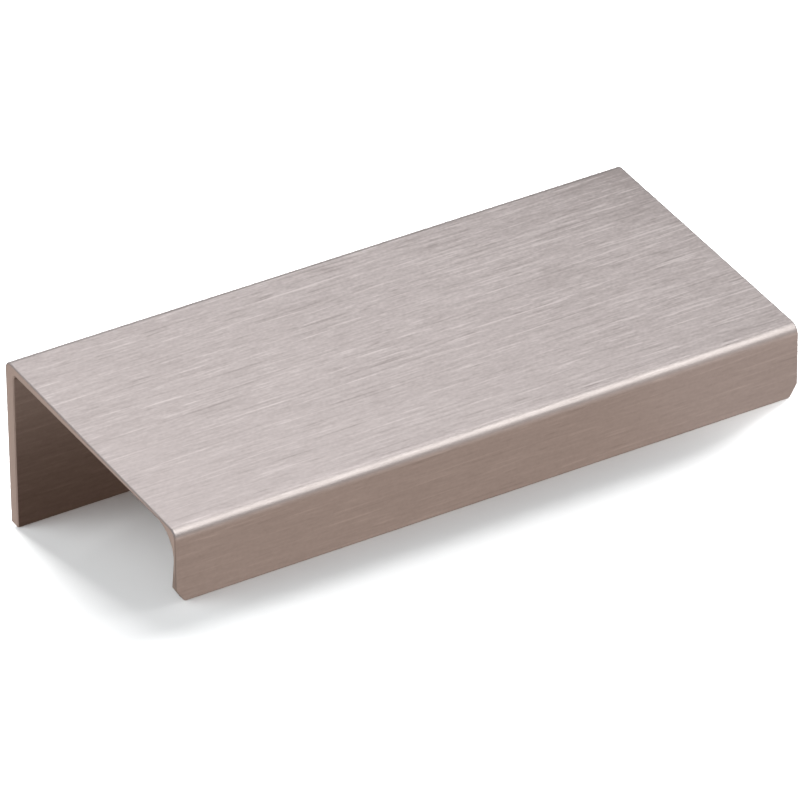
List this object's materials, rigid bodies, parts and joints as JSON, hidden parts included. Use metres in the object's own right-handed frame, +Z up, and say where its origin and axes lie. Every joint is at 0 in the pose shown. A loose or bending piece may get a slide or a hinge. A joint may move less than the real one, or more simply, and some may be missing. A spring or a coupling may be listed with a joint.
{
  "type": "finger pull",
  "caption": "Extruded aluminium edge pull: tall screw-on rear leg, thin brushed plate over the door's edge, short turned-down lip for the fingers.",
  "frame": {"origin": "on the floor under the middle of the pull's box, with the pull at rest on its foot and lip", "axes": "+X along the length, to the right seen from the front; -Y towards the lip; +Z up"},
  "size_m": [0.08, 0.0444, 0.0212],
  "materials": {
    "brushed_aluminium": "brushed lengthwise and anodised to a warm steel shade"
  },
  "bodies": {
    "root": {"finger_pull": "brushed_aluminium"}
  },
  "joints": []
}
